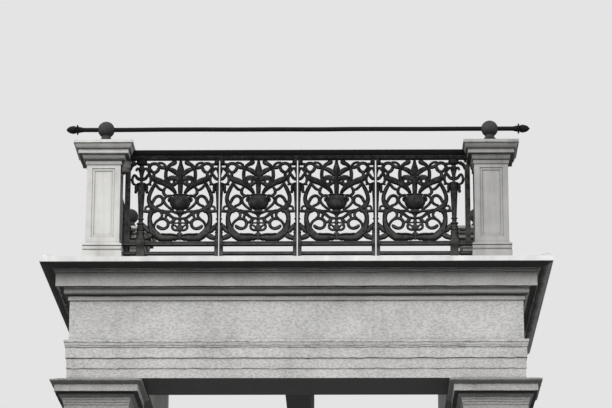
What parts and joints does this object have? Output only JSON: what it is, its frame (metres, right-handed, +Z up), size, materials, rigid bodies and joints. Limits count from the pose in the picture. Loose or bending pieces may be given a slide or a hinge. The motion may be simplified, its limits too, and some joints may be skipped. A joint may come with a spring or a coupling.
{
  "type": "cast iron balcony",
  "caption": "A porch-roof balcony: cast iron railing of ornamental panels between stone pedestals with ball finials, on a moulded masonry entablature.",
  "frame": {"origin": "the middle of the cornice's flat back face, which bears on the wall", "axes": "X along the wall, -Y away from the wall, Z up"},
  "size_m": [4.09, 3.122, 2.5855],
  "materials": {
    "porch_stone": "weathered limestone ashlar, matt",
    "pedestal_stone": "painted stone, weathered and matt",
    "ball_stone": "dark weathered stone, matt",
    "sheet_zinc": "weathered pale sheet metal",
    "railing_iron": "cast iron under worn dark paint",
    "rod_iron": "wrought rod under dark paint"
  },
  "bodies": {
    "root": {"ceiling_rib": "porch_stone", "cornice": "porch_stone", "edge_flashing": "sheet_zinc", "floor_slab": "porch_stone", "front_beam": "porch_stone", "front_lower_rails": "railing_iron", "front_panel_1": "railing_iron", "front_panel_2": "railing_iron", "front_panel_3": "railing_iron", "front_panel_4": "railing_iron", "front_top_rail": "railing_iron", "left_beam": "porch_stone", "left_end_piece": "railing_iron", "left_front_ball": "ball_stone", "left_front_cap": "pedestal_stone", "left_front_plinth": "pedestal_stone", "left_front_shaft": "pedestal_stone", "left_lower_rails": "railing_iron", "left_pier_capital": "porch_stone", "left_rear_ball": "ball_stone", "left_rear_cap": "pedestal_stone", "left_rear_plinth": "pedestal_stone", "left_rear_shaft": "pedestal_stone", "left_rod_finial": "rod_iron", "left_side_end_pieces": "railing_iron", "left_side_panels": "railing_iron", "left_top_rail": "railing_iron", "right_beam": "porch_stone", "right_end_piece": "railing_iron", "right_front_ball": "ball_stone", "right_front_cap": "pedestal_stone", "right_front_plinth": "pedestal_stone", "right_front_shaft": "pedestal_stone", "right_lower_rails": "railing_iron", "right_pier_capital": "porch_stone", "right_rear_ball": "ball_stone", "right_rear_cap": "pedestal_stone", "right_rear_plinth": "pedestal_stone", "right_rear_shaft": "pedestal_stone", "right_rod_finial": "rod_iron", "right_side_end_pieces": "railing_iron", "right_side_panels": "railing_iron", "right_top_rail": "railing_iron", "safety_rod": "rod_iron"}
  },
  "joints": []
}
